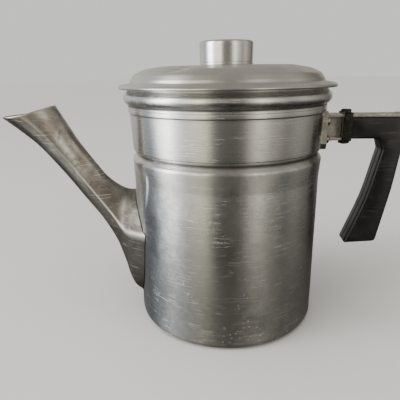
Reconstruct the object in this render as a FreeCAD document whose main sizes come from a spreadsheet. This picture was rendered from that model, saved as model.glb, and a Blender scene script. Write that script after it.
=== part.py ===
"""Camp coffee percolator: drawn aluminium pot, spout, handle, lid, pump stem and coffee basket.

Millimetres, +Z up.  The origin is the middle of the pot's flat bottom.  The spout points along -X
and the handle along +X.
"""
import FreeCAD, Part
import math
import os
import re
import Sketcher
from FreeCAD import Vector

# --------------------------------------------------------------------------- driving dimensions
SIZES = {
    # pot
    "wall": 1.1,
    "pot_radius": 55.0,
    "base_round": 4.5,
    "shoulder_radius": 55.6,
    "shoulder_height": 100.4,
    "groove_radius": 52.8,
    "groove_height": 103.9,
    "neck_low_radius": 55.3,
    "neck_low_height": 106.3,
    "neck_top_radius": 56.3,
    "neck_top_height": 126.5,
    "band_radius": 57.0,
    "band_height": 131.0,
    "bead_apex_radius": 60.9,
    "bead_height": 134.8,
    "rim_height": 141.6,
    "pad_proud": 1.2,
    "pad_low": 57.0,
    "pad_high": 97.5,
    "pad_angle": 82.0,
    "strainer_hole": 3.0,
    "strainer_pitch": 6.0,
    "strainer_low": 24.0,
    "cut_margin": 5.0,
    # spout
    "spout_wall": 1.2,
    # handle
    "plate_half_width": 12.0,
    "plate_low": 104.6,
    "plate_high": 126.0,
    "plate_radius": 58.2,
    "plate_corner": 3.5,
    "rivet_radius": 1.6,
    "rivet_head": 2.5,
    "rivet_spread": 8.4,
    "rivet_low": 110.4,
    "rivet_high": 120.4,
    "rivet_dome": 1.5,
    "rivet_tail": 1.0,
    "rivet_inner_end": 53.0,
    "strap_half_width": 5.3,
    "strap_top": 124.1,
    "strap_thick": 1.8,
    "strap_low": 109.0,
    "strap_end": 104.0,
    "web_half_width": 1.2,
    "ferrule_inner_end": 67.4,
    "ferrule_outer_end": 72.0,
    "ferrule_wall": 1.0,
    "ferrule_round": 1.0,
    "grip_half_width": 6.2,
    "arm_low": 109.9,
    "elbow_reach": 88.6,
    "throat_reach": 90.6,
    "throat_height": 104.0,
    "grip_inner_reach": 83.9,
    "grip_inner_height": 74.0,
    "grip_toe_reach": 73.0,
    "grip_toe_height": 44.4,
    "grip_heel_reach": 92.7,
    "grip_heel_height": 46.0,
    "grip_outer_reach": 98.9,
    "grip_outer_height": 80.0,
    "grip_back_reach": 104.6,
    "grip_edge_round": 1.5,
    "clamp_at": 69.7,
    "clamp_radius": 1.6,
    "clamp_head": 2.9,
    "clamp_head_high": 1.5,
    "clamp_head_round": 0.8,
    "clamp_nut_high": 2.0,
    "clamp_tail": 0.5,
    "slot_wide": 0.9,
    "slot_deep": 0.8,
    "strap_screw_at": 99.0,
    "strap_screw_radius": 1.5,
    "strap_screw_deep": 10.0,
    "strap_screw_head": 2.6,
    "strap_screw_head_high": 0.6,
    "strap_screw_slot_deep": 0.4,
    # lid
    "lid_wall": 1.0,
    "brim_radius": 62.0,
    "brim_curl": 1.15,
    "brim_low": 139.7,
    "step_radius": 54.6,
    "step_low": 143.7,
    "dome_low": 146.4,
    "plateau_radius": 40.5,
    "plateau_height": 151.2,
    "crown_radius": 18.5,
    "crown_height": 151.8,
    "skirt_radius": 54.3,
    "skirt_low": 132.5,
    "knob_radius": 15.3,
    "knob_top": 164.6,
    "knob_round": 1.6,
    "knob_wall": 1.6,
    "knob_boss": 4.0,
    "knob_screw_radius": 1.9,
    "washer_radius": 6.0,
    "washer_thick": 0.8,
    "screw_head_radius": 3.6,
    "screw_head_high": 2.0,
    # pump
    "stem_radius": 3.6,
    "stem_bore": 2.8,
    "stem_low": 13.0,
    "stem_high": 144.6,
    "foot_radius": 33.0,
    "foot_gap": 0.3,
    "foot_wall": 1.0,
    "foot_cone_high": 13.5,
    "foot_neck_radius": 7.0,
    "foot_neck_high": 20.0,
    "notch_radius": 3.0,
    "chamber_radius": 6.0,
    "seat_low": 8.0,
    "seat_thick": 1.0,
    "seat_hole": 2.2,
    "disc_radius": 5.2,
    "disc_thick": 0.8,
    "fit_gap": 0.3,
    "stop_radius": 6.0,
    "stop_high": 84.5,
    "stop_thick": 3.0,
    # basket
    "basket_radius": 42.0,
    "basket_wall": 0.9,
    "basket_high": 133.4,
    "basket_curl": 1.8,
    "sleeve_wall": 0.8,
    "sleeve_high": 131.0,
    "basket_hole": 2.0,
    "spreader_wall": 0.9,
    "spreader_rise": 2.2,
}

# Stations along the spout, from inside the pot's wall out to the mouth.  Each is the reach and the
# height of the lowest and the highest point, how far up between them the side ridge lies, the half
# width at the ridge, and how full the belly below and the flank above the ridge are.
SPOUT_FIELDS = ("low_reach", "low_height", "top_reach", "top_height", "ridge", "half", "belly", "flank")
SPOUT_STATIONS = (
    (45.0, 7.0, 45.0, 77.0, 0.72, 31.0, 0.98, 0.50),
    (58.5, 11.0, 56.5, 76.5, 0.70, 23.5, 0.95, 0.50),
    (65.4, 28.4, 62.5, 77.9, 0.60, 17.0, 0.86, 0.60),
    (70.9, 44.5, 68.5, 81.3, 0.57, 13.8, 0.78, 0.70),
    (79.0, 58.8, 75.3, 86.8, 0.55, 11.6, 0.76, 0.78),
    (89.4, 72.8, 80.8, 94.0, 0.54, 10.7, 0.80, 0.82),
    (99.0, 85.9, 87.0, 102.6, 0.54, 10.3, 0.84, 0.86),
    (108.4, 97.8, 91.6, 109.3, 0.53, 10.6, 0.88, 0.90),
    (118.6, 109.0, 96.0, 117.0, 0.52, 11.3, 0.92, 0.94),
    (136.6, 123.6, 103.5, 130.2, 0.50, 12.6, 0.96, 0.96),
)
STATION_LETTERS = "abcdefghij"

SPOUT_CELLS = {}
for letter, station in zip(STATION_LETTERS, SPOUT_STATIONS):
    for field, size in zip(SPOUT_FIELDS, station):
        SPOUT_CELLS["spout_%s_%s" % (field, letter)] = size

doc = FreeCAD.newDocument("percolator")
sheet = doc.addObject("Spreadsheet::Sheet", "Sizes")
ALL_CELLS = dict(SIZES, **SPOUT_CELLS)
for row, (alias, size) in enumerate(ALL_CELLS.items(), start=1):
    sheet.set("A%d" % row, alias)
    sheet.set("B%d" % row, str(size))
    sheet.setAlias("B%d" % row, alias)
doc.recompute()


def size_of(alias):
    """One driving dimension, read from the sheet."""
    return float(getattr(sheet, alias))


def formula(text):
    """A formula of size names, as a FreeCAD expression on the sheet."""
    return re.sub(r"[a-z_]*[a-z]", lambda word: "Sizes." + word.group(), str(text))


def number_of(text):
    """The value of a formula of size names."""
    result = sheet.evalExpression(formula(text))
    return float(getattr(result, "Value", result))


# --------------------------------------------------------------------------- sketches and bodies
LEAST_CUT = 0.01


def new_body(label):
    body = doc.addObject("PartDesign::Body", label)
    body.Label = label
    return body


def new_sketch(body, name, plane):
    """A sketch on one of the body's own origin planes."""
    sketch = body.newObject("Sketcher::SketchObject", name)
    origin_plane = [item for item in body.Origin.OriginFeatures if item.Role == plane][0]
    sketch.AttachmentSupport = (origin_plane, "")
    sketch.MapMode = "FlatFace"
    return sketch


def hold(sketch, kind, geometry, point, text):
    """Hold a point of a sketch at a formula's distance from the sketch's own origin."""
    if number_of(text) == 0:
        axis = -2 if kind == "DistanceX" else -1
        sketch.addConstraint(Sketcher.Constraint("PointOnObject", geometry, point, axis))
        return
    index = sketch.addConstraint(Sketcher.Constraint(kind, -1, 1, geometry, point, number_of(text)))
    sketch.setExpression("Constraints[%d]" % index, formula(text))


def draw_outline(sketch, corners):
    """Closed outline through corners (across, up) or, with a rounding, (across, up, radius)."""
    count = len(corners)
    places = [Vector(number_of(corner[0]), number_of(corner[1]), 0) for corner in corners]
    starts = []
    ends = []
    arcs = []
    for index, corner in enumerate(corners):
        here = places[index]
        back = (places[index - 1] - here).normalize()
        ahead = (places[(index + 1) % count] - here).normalize()
        if len(corner) == 2:
            starts.append(here)
            ends.append(here)
            arcs.append(None)
            continue
        radius = number_of(corner[2])
        half_angle = back.getAngle(ahead) / 2
        reach = radius / math.tan(half_angle)
        enter = here + back * reach
        leave = here + ahead * reach
        middle = here + (back + ahead).normalize() * (radius / math.sin(half_angle))
        starts.append(leave)
        ends.append(enter)
        left_turn = (-back).cross(ahead).z > 0
        first, second = (enter, leave) if left_turn else (leave, enter)
        first_angle = math.atan2(first.y - middle.y, first.x - middle.x)
        second_angle = math.atan2(second.y - middle.y, second.x - middle.x)
        circle = Part.Circle(middle, Vector(0, 0, 1), radius)
        arcs.append((Part.ArcOfCircle(circle, first_angle, second_angle), left_turn))
    lines = []
    for index in range(count):
        segment = Part.LineSegment(starts[index], ends[(index + 1) % count])
        lines.append(sketch.addGeometry(segment, False))
    for index, corner in enumerate(corners):
        line_in = lines[index - 1]
        line_out = lines[index]
        if arcs[index] is None:
            sketch.addConstraint(Sketcher.Constraint("Coincident", line_in, 2, line_out, 1))
            hold(sketch, "DistanceX", line_out, 1, corner[0])
            hold(sketch, "DistanceY", line_out, 1, corner[1])
            continue
        arc_shape, left_turn = arcs[index]
        arc = sketch.addGeometry(arc_shape, False)
        near, far = (1, 2) if left_turn else (2, 1)
        sketch.addConstraint(Sketcher.Constraint("Tangent", line_in, 2, arc, near))
        sketch.addConstraint(Sketcher.Constraint("Tangent", arc, far, line_out, 1))
        mark = sketch.addGeometry(Part.Point(places[index]), True)
        sketch.addConstraint(Sketcher.Constraint("PointOnObject", mark, 1, line_in))
        sketch.addConstraint(Sketcher.Constraint("PointOnObject", mark, 1, line_out))
        hold(sketch, "DistanceX", mark, 1, corner[0])
        hold(sketch, "DistanceY", mark, 1, corner[1])
        held = sketch.addConstraint(Sketcher.Constraint("Radius", arc, number_of(corner[2])))
        sketch.setExpression("Constraints[%d]" % held, formula(corner[2]))


def draw_circles(sketch, places, radius):
    """Circles of one radius about places (across, up)."""
    for across, up in places:
        middle = Vector(number_of(across), number_of(up), 0)
        circle = Part.Circle(middle, Vector(0, 0, 1), number_of(radius))
        geometry = sketch.addGeometry(circle, False)
        hold(sketch, "DistanceX", geometry, 3, across)
        hold(sketch, "DistanceY", geometry, 3, up)
        held = sketch.addConstraint(Sketcher.Constraint("Radius", geometry, number_of(radius)))
        sketch.setExpression("Constraints[%d]" % held, formula(radius))


def revolve(body, name, corners, angle=None):
    """Turn an outline about the upright axis, all the way round or through a centred angle."""
    sketch = new_sketch(body, name + "_outline", "XZ_Plane")
    draw_outline(sketch, corners)
    turned = body.newObject("PartDesign::Revolution", name)
    turned.Profile = sketch
    turned.ReferenceAxis = (sketch, ["V_Axis"])
    if angle:
        turned.Midplane = True
        turned.setExpression("Angle", formula(angle))
    doc.recompute()
    return turned


def pad(body, name, corners, plane, length, centred=True):
    """Pad an outline, centred on its plane or from the plane along its normal."""
    sketch = new_sketch(body, name + "_outline", plane)
    draw_outline(sketch, corners)
    raised = body.newObject("PartDesign::Pad", name)
    raised.Profile = sketch
    raised.Midplane = centred
    raised.setExpression("Length", formula(length))
    doc.recompute()
    return raised


def cut(body, name, draw, plane, length, reverse=False, raised=None):
    """Pocket whatever draw puts in a sketch, raised off its plane or on it, and check that it cut."""
    before = body.Shape.Volume
    sketch = new_sketch(body, name + "_outline", plane)
    if raised:
        sketch.AttachmentOffset = FreeCAD.Placement(Vector(0, 0, number_of(raised)), FreeCAD.Rotation())
    draw(sketch)
    pocket = body.newObject("PartDesign::Pocket", name)
    pocket.Profile = sketch
    pocket.Reversed = reverse
    pocket.setExpression("Length", formula(length))
    doc.recompute()
    if not body.Shape.Volume < before - LEAST_CUT:
        raise RuntimeError(name + " cut nothing")


def code_part(label, shape):
    """A sub-part whose shape is worked out with Part's own functions."""
    feature = doc.addObject("Part::Feature", label)
    feature.Label = label
    feature.Shape = shape
    return feature


def ring_places(radius, count, turn=0.0):
    """Evenly spaced places (across, up) on a circle, as formulas of its radius."""
    places = []
    for index in range(count):
        angle = math.radians(turn + 360.0 * index / count)
        places.append(("%s * %.6f" % (radius, math.cos(angle)), "%s * %.6f" % (radius, math.sin(angle))))
    return places


# --------------------------------------------------------------------------- pot
POT_ROUND = 0.5
POT_SIDE = (
    ("pot_radius", "shoulder_height - 8", 20),
    ("shoulder_radius", "shoulder_height", 2.6),
    ("groove_radius", "groove_height", 0.9),
    ("neck_low_radius", "neck_low_height", 1.2),
    ("neck_top_radius", "neck_top_height", 0.6),
    ("band_radius", "neck_top_height + 0.9", 0.4),
    ("band_radius", "band_height", 0.8),
    ("bead_apex_radius", "bead_height", 3.6),
    ("band_radius - 0.2", "bead_height + 4.2", 1.0),
)


def make_pot_body():
    outside = [("0", "0"), ("pot_radius", "0", "base_round")]
    outside += POT_SIDE
    outside += [("band_radius - 0.2", "rim_height", POT_ROUND)]
    inside = [("band_radius - 0.2 - wall", "rim_height", POT_ROUND)]
    for across, up, rounding in reversed(POT_SIDE):
        inside.append((across + " - wall", up, rounding))
    inside += [("pot_radius - wall", "wall", "base_round - wall"), ("0", "wall")]
    body = new_body("pot_body")
    revolve(body, "pot_shell", outside + inside)
    raised = [
        ("-pot_radius + wall / 2", "pad_low"),
        ("-pot_radius - pad_proud", "pad_low", 1),
        ("-pot_radius - pad_proud", "pad_high", 1),
        ("-pot_radius + wall / 2", "pad_high"),
    ]
    revolve(body, "spout_pad", raised, angle="pad_angle")
    rows = 6
    columns = 3
    places = []
    for row_number in range(rows):
        up = "strainer_low + strainer_pitch * %d" % row_number
        for column in range(columns):
            across = "strainer_pitch * %.1f" % (column - (columns - 1) / 2)
            places.append((across, up))
    cut(body, "strainer_holes", lambda sketch: draw_circles(sketch, places, "strainer_hole / 2"),
        "YZ_Plane", "pot_radius + cut_margin")
    rivets = [(side + "rivet_spread", height) for side in ("", "-") for height in ("rivet_low", "rivet_high")]
    cut(body, "rivet_holes", lambda sketch: draw_circles(sketch, rivets, "rivet_radius"),
        "YZ_Plane", "pot_radius + cut_margin", reverse=True)
    return body


# --------------------------------------------------------------------------- spout
def spout_section(letter, inset):
    """Closed section of the spout at one station, drawn in by inset all round."""
    values = {field: size_of("spout_%s_%s" % (field, letter)) for field in SPOUT_FIELDS}
    low = Vector(-values["low_reach"], 0, values["low_height"])
    top = Vector(-values["top_reach"], 0, values["top_height"])
    rise = (top - low).normalize()
    low = low + rise * inset
    top = top - rise * inset
    half = values["half"] - inset
    centre = low + (top - low) * values["ridge"]
    below = (low - centre).Length
    above = (top - centre).Length
    edges = []
    for side in (-1, 1):
        belly = Part.BezierCurve()
        belly.setPoles([
            low,
            low + Vector(0, side * half * values["belly"] * 0.8, 0),
            centre - rise * (below * 0.45) + Vector(0, side * half * values["belly"], 0),
            centre + Vector(0, side * half, 0),
        ])
        flank = Part.BezierCurve()
        flank.setPoles([
            centre + Vector(0, side * half, 0),
            centre + rise * (above * 0.45) + Vector(0, side * half * values["flank"], 0),
            top + Vector(0, side * half * 0.5 * values["flank"], 0),
            top,
        ])
        edges.append((belly.toShape(), flank.toShape()))
    near, far = edges
    return Part.Wire([near[0], near[1], far[1], far[0]])


def make_spout():
    wall = size_of("spout_wall")
    outer = Part.makeLoft([spout_section(letter, 0) for letter in STATION_LETTERS], True, True)
    bore = Part.makeLoft([spout_section(letter, wall) for letter in STATION_LETTERS], True, True)
    low = size_of("pad_low")
    core = Part.makeCylinder(size_of("pot_radius"), low)
    raised = size_of("pot_radius") + size_of("pad_proud")
    collar = Part.makeCylinder(raised, size_of("pad_high") - low, Vector(0, 0, low))
    shell = outer.cut(bore).cut(core.fuse(collar))
    return code_part("spout", shell.Solids[0])


# --------------------------------------------------------------------------- handle
def make_handle_plate(pot):
    low = size_of("plate_low")
    high = size_of("plate_high")
    half = size_of("plate_half_width")
    corner = size_of("plate_corner")
    corners = [
        (-half + corner, low), (half - corner, low), (half, low + corner), (half, high - corner),
        (half - corner, high), (-half + corner, high), (-half, high - corner), (-half, low + corner),
    ]
    start = size_of("groove_radius") - size_of("plate_half_width")
    deep = size_of("plate_radius")
    points = [Vector(start, across, up) for across, up in corners]
    blank = Part.Face(Part.makePolygon(points + points[:1])).extrude(Vector(deep, 0, 0))
    bend = Part.makeCylinder(size_of("plate_radius"), high - low, Vector(0, 0, low))
    margin = size_of("cut_margin")
    hollow = Part.makeCylinder(size_of("groove_radius"), high - low + 2 * margin, Vector(0, 0, low - margin))
    plate = blank.common(bend).cut(pot.Shape.fuse(hollow))
    for across, up in rivet_places():
        place = Vector(start, across, up)
        plate = plate.cut(Part.makeCylinder(size_of("rivet_radius"), deep, place, Vector(1, 0, 0)))
    solids = sorted(plate.Solids, key=lambda solid: solid.Volume)
    return code_part("handle_plate", solids[-1])


def rivet_places():
    spread = size_of("rivet_spread")
    heights = (size_of("rivet_low"), size_of("rivet_high"))
    return [(side * spread, height) for side in (-1, 1) for height in heights]


def make_plate_rivets():
    shank = size_of("rivet_radius")
    head = size_of("rivet_head")
    inner_end = size_of("rivet_inner_end")
    tail_high = size_of("rivet_tail")
    outer_end = math.sqrt(size_of("plate_radius") ** 2 - (size_of("rivet_spread") - head) ** 2)
    dome_high = size_of("rivet_dome")
    dome_radius = (head ** 2 + dome_high ** 2) / (2 * dome_high)
    rivets = []
    for across, up in rivet_places():
        body = Part.makeCylinder(shank, outer_end - inner_end, Vector(inner_end, across, up), Vector(1, 0, 0))
        ball = Part.makeSphere(dome_radius, Vector(outer_end + dome_high - dome_radius, across, up))
        slab = Part.makeCylinder(head, dome_high, Vector(outer_end, across, up), Vector(1, 0, 0))
        tail = Part.makeCylinder(head, tail_high, Vector(inner_end - tail_high, across, up), Vector(1, 0, 0))
        rivets.append(body.fuse([ball.common(slab), tail]).removeSplitter())
    return code_part("plate_rivets", Part.makeCompound(rivets))


def make_handle_strap():
    body = new_body("handle_strap")
    inner = "plate_radius"
    pad(body, "top_strip", [
        (inner, "strap_top - strap_thick"), ("strap_end", "strap_top - strap_thick"),
        ("strap_end", "strap_top"), (inner, "strap_top"),
    ], "XZ_Plane", "strap_half_width * 2")
    pad(body, "web", [
        (inner, "strap_low"), ("ferrule_inner_end", "strap_low"),
        ("ferrule_inner_end", "strap_top - strap_thick / 2"), (inner, "strap_top - strap_thick / 2"),
    ], "XZ_Plane", "web_half_width * 2")
    pad(body, "foot_flange", [
        (inner, "strap_low"), ("ferrule_inner_end", "strap_low"),
        ("ferrule_inner_end", "strap_low + strap_thick"), (inner, "strap_low + strap_thick"),
    ], "XZ_Plane", "strap_half_width * 2")
    clamp = [("clamp_at", "0")]
    cut(body, "clamp_hole", lambda sketch: draw_circles(sketch, clamp, "clamp_radius"),
        "XY_Plane", "strap_top + cut_margin", reverse=True)
    end_screw = [("strap_screw_at", "0")]
    cut(body, "screw_hole", lambda sketch: draw_circles(sketch, end_screw, "strap_screw_radius"),
        "XY_Plane", "strap_top + cut_margin", reverse=True)
    return body


def make_handle_ferrule():
    body = new_body("handle_ferrule")
    pad(body, "collar", [
        ("-grip_half_width - ferrule_wall", "arm_low - ferrule_wall", "ferrule_round"),
        ("grip_half_width + ferrule_wall", "arm_low - ferrule_wall", "ferrule_round"),
        ("grip_half_width + ferrule_wall", "strap_top + ferrule_wall", "ferrule_round"),
        ("-grip_half_width - ferrule_wall", "strap_top + ferrule_wall", "ferrule_round"),
    ], "YZ_Plane", "ferrule_outer_end", centred=False)
    cut(body, "opening", lambda sketch: draw_outline(sketch, [
        ("-grip_half_width", "arm_low"), ("grip_half_width", "arm_low"),
        ("grip_half_width", "strap_top"), ("-grip_half_width", "strap_top"),
    ]), "YZ_Plane", "ferrule_outer_end + cut_margin", reverse=True)
    cut(body, "inner_part", lambda sketch: draw_outline(sketch, [
        ("-grip_half_width - cut_margin", "arm_low - cut_margin"),
        ("grip_half_width + cut_margin", "arm_low - cut_margin"),
        ("grip_half_width + cut_margin", "strap_top + cut_margin"),
        ("-grip_half_width - cut_margin", "strap_top + cut_margin"),
    ]), "YZ_Plane", "ferrule_inner_end", reverse=True)
    clamp = [("clamp_at", "0")]
    cut(body, "clamp_hole", lambda sketch: draw_circles(sketch, clamp, "clamp_radius"),
        "XY_Plane", "strap_top + cut_margin", reverse=True)
    return body


def make_ferrule_screw():
    top = size_of("strap_top") + size_of("ferrule_wall")
    nut_low = size_of("arm_low") - size_of("ferrule_wall") - size_of("clamp_nut_high")
    low = nut_low - size_of("clamp_tail")
    at = size_of("clamp_at")
    high = size_of("clamp_head_high")
    shank = Part.makeCylinder(size_of("clamp_radius"), top - low, Vector(at, 0, low))
    head = Part.makeCylinder(size_of("clamp_head"), high, Vector(at, 0, top))
    head = head.makeFillet(size_of("clamp_head_round"), [edge_at_height(head, top + high)])
    slot = slot_box(at, top + high - size_of("slot_deep"), size_of("slot_deep"))
    return code_part("ferrule_screw", shank.fuse(head).cut(slot).removeSplitter())


def slot_box(at, low, high):
    """Block that cuts a screwdriver slot across a head centred at a reach."""
    wide = size_of("slot_wide")
    long = 2 * size_of("screw_head_radius") + wide
    return Part.makeBox(long, wide, high, Vector(at - long / 2, -wide / 2, low))


def edge_at_height(shape, height):
    """The circular edge of a turned shape that lies at a height."""
    level = [edge for edge in shape.Edges if edge.BoundBox.ZLength < LEAST_CUT]
    return max(level, key=lambda edge: edge.BoundBox.ZMin - abs(edge.BoundBox.ZMin - height))


def hexagon(across_flats, high, place):
    corner = across_flats / math.sqrt(3)
    points = []
    for index in range(6):
        angle = math.radians(60 * index)
        points.append(place + Vector(corner * math.cos(angle), corner * math.sin(angle), 0))
    return Part.Face(Part.makePolygon(points + points[:1])).extrude(Vector(0, 0, high))


def make_ferrule_nut():
    high = size_of("clamp_nut_high")
    low = size_of("arm_low") - size_of("ferrule_wall") - high
    at = Vector(size_of("clamp_at"), 0, low)
    block = hexagon(2 * size_of("clamp_head"), high, at)
    return code_part("ferrule_nut", block.cut(Part.makeCylinder(size_of("clamp_radius"), high, at)))


def make_handle_grip():
    body = new_body("handle_grip")
    under = "strap_top - strap_thick"
    grip = pad(body, "grip", [
        ("ferrule_inner_end", "arm_low"),
        ("elbow_reach", "arm_low", 2.5),
        ("throat_reach", "throat_height", 3),
        ("grip_inner_reach", "grip_inner_height", 120),
        ("grip_toe_reach", "grip_toe_height", 2),
        ("grip_heel_reach", "grip_heel_height", 3),
        ("grip_outer_reach", "grip_outer_height", 160),
        ("grip_back_reach", under, 5),
        ("ferrule_inner_end", under),
    ], "XZ_Plane", "grip_half_width * 2")
    names = []
    for index, edge in enumerate(grip.Shape.Edges, start=1):
        box = edge.BoundBox
        on_side = box.YLength < LEAST_CUT
        if on_side and box.ZMax < size_of("arm_low") - size_of("grip_edge_round") / 2:
            names.append("Edge%d" % index)
    fillet = body.newObject("PartDesign::Fillet", "soft_edges")
    fillet.Base = (grip, names)
    fillet.Radius = size_of("grip_edge_round")
    doc.recompute()
    clamp = [("clamp_at", "0")]
    cut(body, "clamp_hole", lambda sketch: draw_circles(sketch, clamp, "clamp_radius"),
        "XY_Plane", "strap_top + cut_margin", reverse=True)
    end_screw = [("strap_screw_at", "0")]
    cut(body, "screw_hole", lambda sketch: draw_circles(sketch, end_screw, "strap_screw_radius"),
        "XY_Plane", "strap_screw_deep + cut_margin", reverse=True, raised="strap_top - strap_screw_deep")
    return body


def make_strap_screw():
    at = size_of("strap_screw_at")
    top = size_of("strap_top")
    deep = size_of("strap_screw_deep")
    radius = size_of("strap_screw_radius")
    high = size_of("strap_screw_head_high")
    cut_deep = size_of("strap_screw_slot_deep")
    shank = Part.makeCylinder(radius, deep, Vector(at, 0, top - deep))
    head = Part.makeCone(size_of("strap_screw_head"), radius, high, Vector(at, 0, top))
    slot = slot_box(at, top + high - cut_deep, cut_deep)
    return code_part("strap_screw", shank.fuse(head).cut(slot).removeSplitter())


# --------------------------------------------------------------------------- lid
def make_lid_shell():
    body = new_body("lid_shell")
    revolve(body, "lid_shell_turned", [
        ("knob_screw_radius", "crown_height"),
        ("crown_radius", "crown_height", 8),
        ("plateau_radius", "plateau_height", 3),
        ("step_radius - 1.2", "dome_low + 0.6", 1.4),
        ("step_radius + 0.6", "step_low", 0.6),
        ("brim_radius - 1.6", "brim_low + brim_curl * 2", 2),
        ("brim_radius", "brim_low + brim_curl", 0.8),
        ("brim_radius - 0.5", "brim_low", 0.5),
        ("brim_radius - 2.2", "brim_low", 0.5),
        ("brim_radius - 2.6", "brim_low + 1.3", 0.4),
        ("skirt_radius + 2.4", "step_low - 1.7", 1),
        ("skirt_radius", "step_low - 1.8", 0.8),
        ("skirt_radius", "skirt_low", 0.4),
        ("skirt_radius - lid_wall", "skirt_low", 0.4),
        ("skirt_radius - lid_wall", "dome_low - 1.5", 1),
        ("plateau_radius - 0.5", "plateau_height - lid_wall", 3),
        ("crown_radius", "crown_height - lid_wall", 8),
        ("knob_screw_radius", "crown_height - lid_wall"),
    ])
    return body


def make_lid_knob():
    body = new_body("lid_knob")
    revolve(body, "knob_turned", [
        ("0", "knob_top"),
        ("knob_radius", "knob_top", "knob_round"),
        ("knob_radius - 0.3", "crown_height", 0.5),
        ("knob_radius - knob_wall", "crown_height"),
        ("knob_radius - knob_wall", "knob_top - knob_wall", 1),
        ("knob_boss", "knob_top - knob_wall", 0.5),
        ("knob_boss", "crown_height"),
        ("knob_screw_radius", "crown_height"),
        ("knob_screw_radius", "knob_top - knob_wall - 2"),
        ("0", "knob_top - knob_wall - 2"),
    ])
    return body


def make_knob_screw():
    under = size_of("crown_height") - size_of("lid_wall") - size_of("washer_thick")
    top = size_of("knob_top") - size_of("knob_wall") - 3
    shank = Part.makeCylinder(size_of("knob_screw_radius"), top - under, Vector(0, 0, under))
    high = size_of("screw_head_high")
    head = Part.makeCylinder(size_of("screw_head_radius"), high, Vector(0, 0, under - high))
    slot = slot_box(0, under - high, size_of("slot_deep"))
    return code_part("knob_screw", shank.fuse(head).cut(slot).removeSplitter())


def make_knob_washer():
    under = size_of("crown_height") - size_of("lid_wall") - size_of("washer_thick")
    thick = size_of("washer_thick")
    ring = Part.makeCylinder(size_of("washer_radius"), thick, Vector(0, 0, under))
    hole = Part.makeCylinder(size_of("knob_screw_radius"), thick, Vector(0, 0, under))
    return code_part("knob_washer", ring.cut(hole))


# --------------------------------------------------------------------------- pump
def make_pump_tube():
    body = new_body("pump_tube")
    revolve(body, "tube", [
        ("stem_bore", "stem_low"), ("stem_radius", "stem_low"),
        ("stem_radius", "stem_high"), ("stem_bore", "stem_high"),
    ])
    return body


def make_pump_base():
    body = new_body("pump_base")
    floor = "wall + foot_gap"
    revolve(body, "foot", [
        ("foot_radius - foot_wall", floor),
        ("foot_radius", floor),
        ("foot_radius", floor + " + 2.4", 1.4),
        ("foot_neck_radius + 3", "foot_cone_high", 5),
        ("foot_neck_radius", "foot_cone_high + 3", 1),
        ("foot_neck_radius", "foot_neck_high", 0.6),
        ("stem_radius", "foot_neck_high"),
        ("stem_radius", "stem_low"),
        ("chamber_radius", "stem_low"),
        ("chamber_radius", "seat_low"),
        ("chamber_radius + foot_wall", "seat_low"),
        ("chamber_radius + foot_wall", "foot_cone_high - 2.2"),
        ("foot_radius - foot_wall", floor + " + 2.0", 1),
    ])
    notches = 6
    places = ring_places("foot_radius", notches, turn=30)
    cut(body, "water_notches", lambda sketch: draw_circles(sketch, places, "notch_radius"),
        "XY_Plane", "notch_radius + foot_gap * 3", reverse=True)
    return body


def make_valve_seat():
    body = new_body("valve_seat")
    revolve(body, "seat", [
        ("seat_hole", "seat_low"), ("chamber_radius", "seat_low"),
        ("chamber_radius", "seat_low + seat_thick"), ("seat_hole", "seat_low + seat_thick"),
    ])
    return body


def make_valve_disc():
    body = new_body("valve_disc")
    low = "seat_low + seat_thick + fit_gap"
    revolve(body, "disc", [
        ("0", low), ("disc_radius", low, 0.2),
        ("disc_radius", low + " + disc_thick", 0.2), ("0", low + " + disc_thick"),
    ])
    return body


def make_basket_stop():
    body = new_body("basket_stop")
    revolve(body, "stop", [
        ("stem_radius", "stop_high - stop_thick"),
        ("stop_radius", "stop_high - stop_thick", 1.2),
        ("stop_radius", "stop_high", 1.2),
        ("stem_radius", "stop_high"),
    ])
    return body


# --------------------------------------------------------------------------- basket
def make_basket_cup():
    body = new_body("basket_cup")
    low = "stop_high + fit_gap"
    bore = "stem_radius + fit_gap + sleeve_wall"
    revolve(body, "cup", [
        (bore, low),
        ("basket_radius - 1.5", low, 4),
        ("basket_radius", "basket_high", 0.7),
        ("basket_radius + basket_curl", "basket_high", 0.7),
        ("basket_radius + basket_curl", "basket_high - 2.2", 0.3),
        ("basket_radius + basket_curl + basket_wall", "basket_high - 2.2", 0.3),
        ("basket_radius + basket_curl + basket_wall", "basket_high + basket_wall", 1.2),
        ("basket_radius - basket_wall", "basket_high + basket_wall", 1.2),
        ("basket_radius - 1.5 - basket_wall", low + " + basket_wall", 3.1),
        (bore, low + " + basket_wall"),
    ])
    places = []
    for radius, count in ((10, 8), (17, 14), (24, 20), (31, 26)):
        places += ring_places("%d" % radius, count)
    cut(body, "drain_holes", lambda sketch: draw_circles(sketch, places, "basket_hole / 2"),
        "XY_Plane", "stop_high + cut_margin", reverse=True)
    return body


def make_basket_sleeve():
    body = new_body("basket_sleeve")
    bore = "stem_radius + fit_gap"
    revolve(body, "sleeve", [
        (bore, "stop_high + fit_gap"), (bore + " + sleeve_wall", "stop_high + fit_gap"),
        (bore + " + sleeve_wall", "sleeve_high"), (bore, "sleeve_high"),
    ])
    return body


def make_spreader_plate():
    body = new_body("spreader_plate")
    low = "basket_high + basket_wall + fit_gap"
    bore = "stem_radius + fit_gap * 1.5"
    revolve(body, "plate", [
        (bore, low + " + spreader_rise"),
        (bore, low + " + spreader_rise - spreader_wall"),
        ("14", low, 6),
        ("basket_radius + 2.6", low),
        ("basket_radius + 2.6", low + " + spreader_wall", 0.4),
        ("14", low + " + spreader_wall", 6),
    ])
    places = []
    for radius, count in ((18, 14), (25, 20), (32, 26)):
        places += ring_places("%d" % radius, count)
    cut(body, "spray_holes", lambda sketch: draw_circles(sketch, places, "basket_hole / 2"),
        "XY_Plane", "basket_high + spreader_rise + cut_margin", reverse=True)
    return body


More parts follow.
